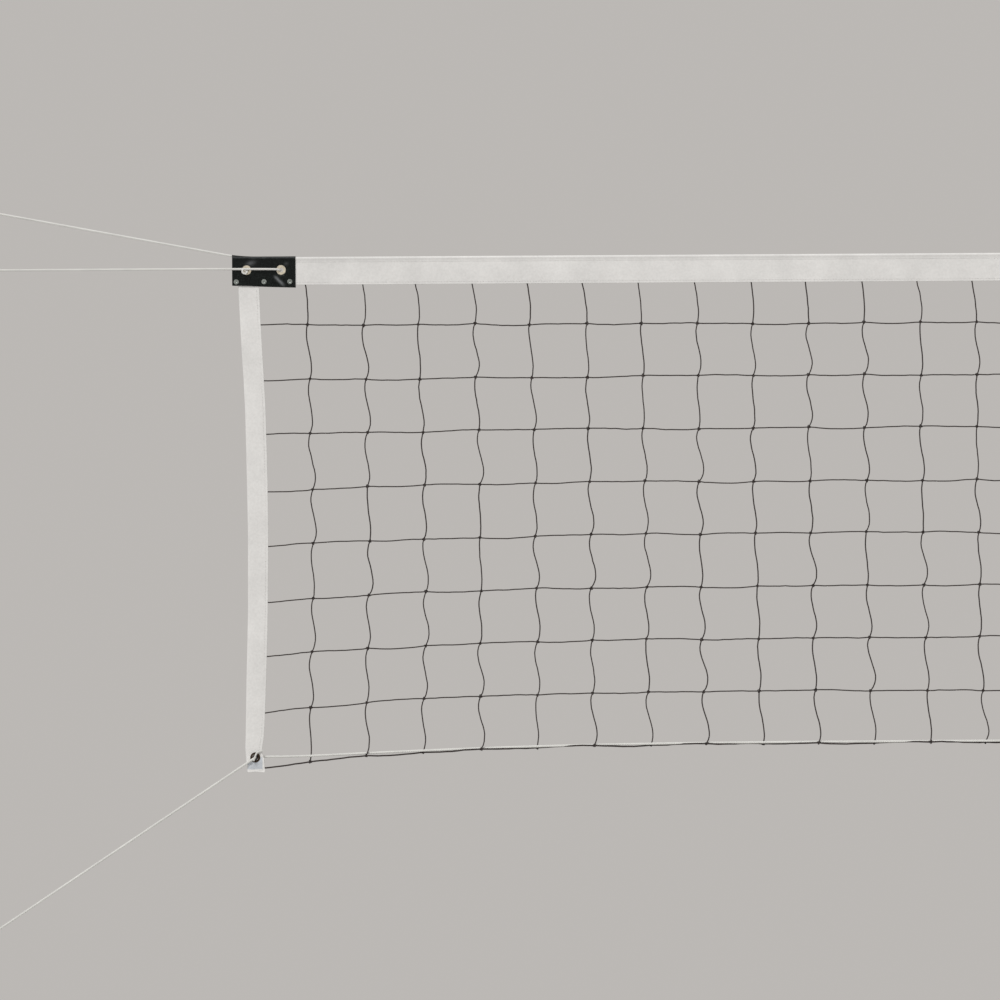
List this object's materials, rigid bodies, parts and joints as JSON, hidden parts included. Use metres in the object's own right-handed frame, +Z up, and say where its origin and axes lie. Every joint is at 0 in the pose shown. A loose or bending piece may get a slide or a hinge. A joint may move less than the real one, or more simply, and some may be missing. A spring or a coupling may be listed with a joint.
{
  "type": "volleyball net on poles",
  "caption": "Knotted volleyball net with canvas head band, side tapes, riveted corner patches and cords, on telescopic clamped poles with floor plates.",
  "frame": {"origin": "on the floor, midway between the poles, in the plane of the net", "axes": "+X along the net towards the right pole, +Y away from the viewer, +Z up"},
  "size_m": [10.8, 0.3, 2.5338],
  "materials": {
    "net_twine": "matt knotted twine",
    "white_canvas": "plain-woven canvas",
    "white_rope": "braided cord",
    "black_vinyl": "glossy coated vinyl",
    "eyelet_brass": "rolled and slightly dulled",
    "rivet_steel": "nickel plated and dulled",
    "pole_paint": "satin powder coat",
    "mast_steel": "drawn zinc-plated tube",
    "collar_paint": "satin powder coat",
    "fitting_steel": "zinc plated",
    "zinc_steel": "zinc plated",
    "cleat_aluminium": "cast and polished",
    "shoe_brass": "turned",
    "bush_plastic": "moulded",
    "knob_plastic": "moulded, finely textured",
    "sheave_plastic": "turned nylon"
  },
  "bodies": {
    "root": {"left_base_plate": "pole_paint", "left_base_gussets": "pole_paint", "left_outer_tube": "pole_paint", "left_guide_bush": "bush_plastic", "left_clamp_collar": "collar_paint", "right_base_plate": "pole_paint", "right_base_gussets": "pole_paint", "right_outer_tube": "pole_paint", "right_guide_bush": "bush_plastic", "right_clamp_collar": "collar_paint"},
    "net_and_masts": {"net_mesh": "net_twine", "head_band": "white_canvas", "head_rope": "white_rope", "bottom_rope": "white_rope", "left_corner_patch": "black_vinyl", "left_side_tape": "white_canvas", "left_corner_eyelets": "eyelet_brass", "left_corner_washers": "eyelet_brass", "left_corner_rivets": "rivet_steel", "left_tape_eyelet": "eyelet_brass", "left_tape_washer": "eyelet_brass", "left_lashing_cord": "white_rope", "left_mast": "mast_steel", "left_mast_foot_bush": "bush_plastic", "left_head_bracket": "fitting_steel", "left_sheave_axle": "zinc_steel", "left_axle_nut": "zinc_steel", "left_cleat": "cleat_aluminium", "left_cleat_screws": "zinc_steel", "right_corner_patch": "black_vinyl", "right_side_tape": "white_canvas", "right_corner_eyelets": "eyelet_brass", "right_corner_washers": "eyelet_brass", "right_corner_rivets": "rivet_steel", "right_tape_eyelet": "eyelet_brass", "right_tape_washer": "eyelet_brass", "right_lashing_cord": "white_rope", "right_mast": "mast_steel", "right_mast_foot_bush": "bush_plastic", "right_head_bracket": "fitting_steel", "right_sheave_axle": "zinc_steel", "right_axle_nut": "zinc_steel", "right_cleat": "cleat_aluminium", "right_cleat_screws": "zinc_steel"},
    "left_sheave": {"left_sheave": "sheave_plastic"},
    "left_clamp_shoe": {"left_clamp_shoe": "shoe_brass"},
    "left_clamp_screw": {"left_clamp_screw": "zinc_steel", "left_clamp_knob": "knob_plastic"},
    "right_sheave": {"right_sheave": "sheave_plastic"},
    "right_clamp_shoe": {"right_clamp_shoe": "shoe_brass"},
    "right_clamp_screw": {"right_clamp_screw": "zinc_steel", "right_clamp_knob": "knob_plastic"}
  },
  "joints": [
    {"name": "height_adjust", "type": "slide", "parent": "root", "child": "net_and_masts", "axis": [0, 0, 1], "range_m": [-0.33, 0]},
    {"name": "left_sheave_spin", "type": "hinge", "parent": "net_and_masts", "child": "left_sheave", "pos_m": [-5.268, 0, 2.49879], "axis": [0, 1, 0], "continuous": true},
    {"name": "left_clamp_travel", "type": "slide", "parent": "root", "child": "left_clamp_shoe", "axis": [0, -1, 0], "range_m": [0, 0.00175]},
    {"name": "left_clamp_turn", "type": "hinge", "parent": "left_clamp_shoe", "child": "left_clamp_screw", "pos_m": [-5.25, -0.09, 0.776], "axis": [0, -1, 0], "range_deg": [0, 360]},
    {"name": "right_sheave_spin", "type": "hinge", "parent": "net_and_masts", "child": "right_sheave", "pos_m": [5.268, 0, 2.49879], "axis": [0, 1, 0], "continuous": true},
    {"name": "right_clamp_travel", "type": "slide", "parent": "root", "child": "right_clamp_shoe", "axis": [0, -1, 0], "range_m": [0, 0.00175]},
    {"name": "right_clamp_turn", "type": "hinge", "parent": "right_clamp_shoe", "child": "right_clamp_screw", "pos_m": [5.25, -0.09, 0.776], "axis": [0, -1, 0], "range_deg": [0, 360]}
  ],
  "couplings": [
    {"joint": "left_clamp_turn", "follows": "left_clamp_travel", "rad_per_m": 3590.4},
    {"joint": "right_clamp_turn", "follows": "right_clamp_travel", "rad_per_m": 3590.4}
  ]
}
